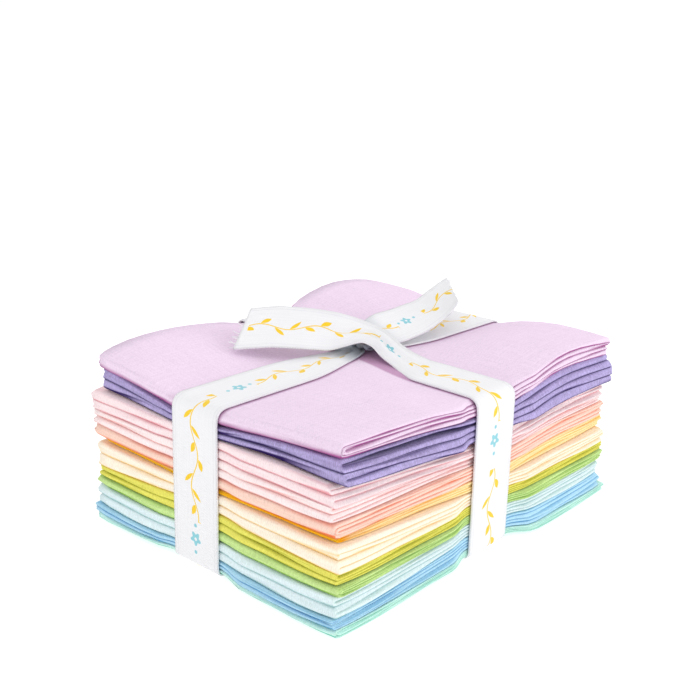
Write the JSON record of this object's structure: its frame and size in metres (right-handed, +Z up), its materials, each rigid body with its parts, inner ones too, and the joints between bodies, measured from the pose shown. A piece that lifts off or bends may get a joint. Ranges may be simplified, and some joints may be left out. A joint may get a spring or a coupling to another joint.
{
  "type": "stack of fat quarters",
  "caption": "Squared stack of folded plain quilting cottons in pastel colours, tied both ways with a flat white cotton tape knotted on top with two free tails.",
  "frame": {"origin": "middle of the stack's footprint, on the surface it rests on", "axes": "+Z up; +X along the layered ends, from the near corner of the picture's right face; +Y along the fold loops of the picture's left face"},
  "size_m": [0.1508, 0.1174, 0.0708],
  "materials": {
    "cotton_lilac": "plain woven quilting cotton, matte",
    "cotton_violet": "plain woven quilting cotton, matte",
    "cotton_pink": "plain woven quilting cotton, matte",
    "cotton_pale_pink": "plain woven quilting cotton, matte",
    "cotton_peach": "plain woven quilting cotton, matte",
    "cotton_yellow": "plain woven quilting cotton, matte",
    "cotton_cream": "plain woven quilting cotton, matte",
    "cotton_lime": "plain woven quilting cotton, matte",
    "cotton_green": "plain woven quilting cotton, matte",
    "cotton_aqua": "plain woven quilting cotton, matte",
    "cotton_blue": "plain woven quilting cotton, matte",
    "cotton_mint": "plain woven quilting cotton, matte",
    "cotton_tape": "twill woven cotton tape, matte"
  },
  "bodies": {
    "root": {"fat_quarter_01_lilac": "cotton_lilac", "fat_quarter_02_violet": "cotton_violet", "fat_quarter_03_pink": "cotton_pink", "fat_quarter_04_pale_pink": "cotton_pale_pink", "fat_quarter_05_peach": "cotton_peach", "fat_quarter_06_yellow": "cotton_yellow", "fat_quarter_07_cream": "cotton_cream", "fat_quarter_08_lime": "cotton_lime", "fat_quarter_09_green": "cotton_green", "fat_quarter_10_aqua": "cotton_aqua", "fat_quarter_11_blue": "cotton_blue", "fat_quarter_12_mint": "cotton_mint", "ribbon": "cotton_tape"}
  },
  "joints": []
}
